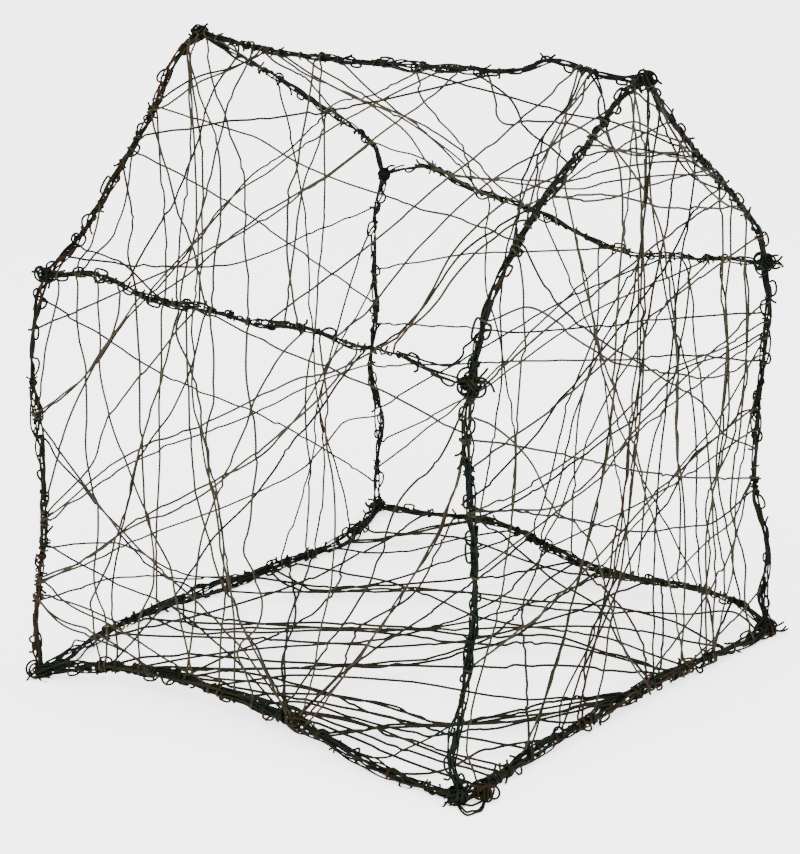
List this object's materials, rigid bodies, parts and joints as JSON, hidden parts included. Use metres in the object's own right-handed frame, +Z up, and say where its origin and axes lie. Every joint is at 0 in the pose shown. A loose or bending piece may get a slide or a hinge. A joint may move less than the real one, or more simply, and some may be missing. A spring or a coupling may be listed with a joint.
{
  "type": "wire sculpture",
  "caption": "Open-work sculpture of a small gabled house, its edges bundles of twisted black iron wire and its walls, roof and floor a loose net of single wires.",
  "frame": {"origin": "on the ground, under the middle of the house's box", "axes": "+Z up, the ridge along Y, the front gable faces -Y and the left wall -X"},
  "size_m": [0.4476, 0.4238, 0.4927],
  "materials": {
    "bundle_iron": "blackened annealed iron wire, semi-matt",
    "rusted_iron": "blackened annealed iron wire with brown rust, matt",
    "strung_iron": "thin annealed iron wire, dark olive brown, satin"
  },
  "bodies": {
    "root": {"back_apex_knot": "bundle_iron", "back_gable_wire_1": "strung_iron", "back_gable_wire_2": "strung_iron", "back_gable_wire_3": "strung_iron", "back_gable_wire_4": "strung_iron", "back_gable_wire_5": "strung_iron", "back_left_eave_knot": "bundle_iron", "back_left_foot_knot": "bundle_iron", "back_left_post": "rusted_iron", "back_left_rafter": "rusted_iron", "back_right_eave_knot": "bundle_iron", "back_right_foot_knot": "bundle_iron", "back_right_post": "bundle_iron", "back_right_rafter": "bundle_iron", "back_sill": "bundle_iron", "floor_wire_1": "strung_iron", "floor_wire_2": "strung_iron", "floor_wire_3": "strung_iron", "floor_wire_4": "strung_iron", "front_apex_knot": "bundle_iron", "front_gable_wire_1": "strung_iron", "front_gable_wire_2": "strung_iron", "front_gable_wire_3": "strung_iron", "front_gable_wire_4": "strung_iron", "front_gable_wire_5": "strung_iron", "front_gable_wire_6": "strung_iron", "front_gable_wire_7": "strung_iron", "front_left_eave_knot": "bundle_iron", "front_left_foot_knot": "bundle_iron", "front_left_post": "bundle_iron", "front_left_rafter": "bundle_iron", "front_right_eave_knot": "bundle_iron", "front_right_foot_knot": "bundle_iron", "front_right_post": "bundle_iron", "front_right_rafter": "bundle_iron", "front_sill": "bundle_iron", "left_eave": "bundle_iron", "left_roof_wire_1": "strung_iron", "left_roof_wire_2": "strung_iron", "left_roof_wire_3": "strung_iron", "left_roof_wire_4": "strung_iron", "left_roof_wire_5": "strung_iron", "left_sill": "bundle_iron", "left_wall_wire_1": "strung_iron", "left_wall_wire_2": "strung_iron", "left_wall_wire_3": "strung_iron", "left_wall_wire_4": "strung_iron", "left_wall_wire_5": "strung_iron", "ridge": "bundle_iron", "right_eave": "bundle_iron", "right_roof_wire_1": "strung_iron", "right_roof_wire_2": "strung_iron", "right_roof_wire_3": "strung_iron", "right_roof_wire_4": "strung_iron", "right_sill": "bundle_iron", "right_wall_wire_1": "strung_iron", "right_wall_wire_2": "strung_iron", "right_wall_wire_3": "strung_iron", "right_wall_wire_4": "strung_iron", "right_wall_wire_5": "strung_iron"}
  },
  "joints": []
}
